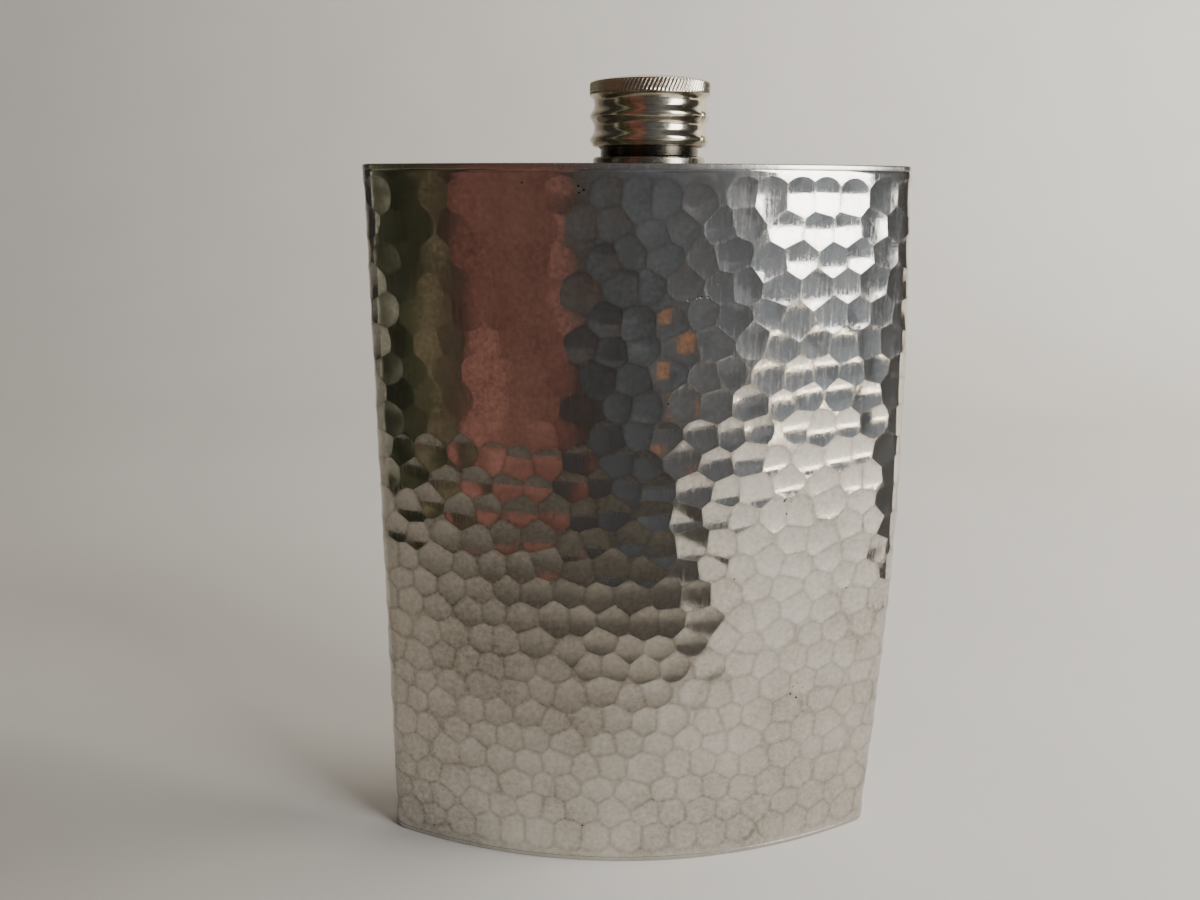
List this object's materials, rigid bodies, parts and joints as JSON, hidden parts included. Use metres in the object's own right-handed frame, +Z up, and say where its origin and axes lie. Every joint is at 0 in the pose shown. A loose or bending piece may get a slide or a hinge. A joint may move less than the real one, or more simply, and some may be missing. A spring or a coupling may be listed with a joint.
{
  "type": "hip flask",
  "caption": "Flat oval metal hip flask with a hammered body, plain end plates, an off-centre threaded neck and a beaded screw cap.",
  "frame": {"origin": "middle of the base plate's underside, under the middle of the body's width and depth", "axes": "+Z up, out of the neck; X across the broad front, with the neck offset to +X; the front is -Y"},
  "size_m": [0.0966, 0.0296, 0.1414],
  "materials": {
    "hammered_pewter": "hammered and polished pewter",
    "plate_pewter": "plain pewter, dulled",
    "solder": "scraped solder",
    "neck_metal": "cast and turned, darkened",
    "cap_metal": "turned and polished",
    "cork": "cut cork"
  },
  "bodies": {
    "flask": {"body_wrap": "hammered_pewter", "side_seam_solder": "solder", "base_plate": "plate_pewter", "base_seam_solder": "solder", "top_plate": "plate_pewter", "top_seam_solder": "solder", "neck": "neck_metal", "neck_solder": "solder"},
    "liner": {"cap_liner": "cork"},
    "cap": {"screw_cap": "cap_metal"}
  },
  "joints": [
    {"name": "cap_lift", "type": "slide", "parent": "flask", "child": "liner", "axis": [0, 0, 1], "range_m": [0, 0.0151]},
    {"name": "cap_turn", "type": "hinge", "parent": "liner", "child": "cap", "pos_m": [0.0017, 0, 0.1334], "axis": [0, 0, 1], "range_deg": [0, 2160]}
  ],
  "couplings": [
    {"joint": "cap_lift", "follows": "cap_turn", "m_per_rad": 0.00039789}
  ]
}
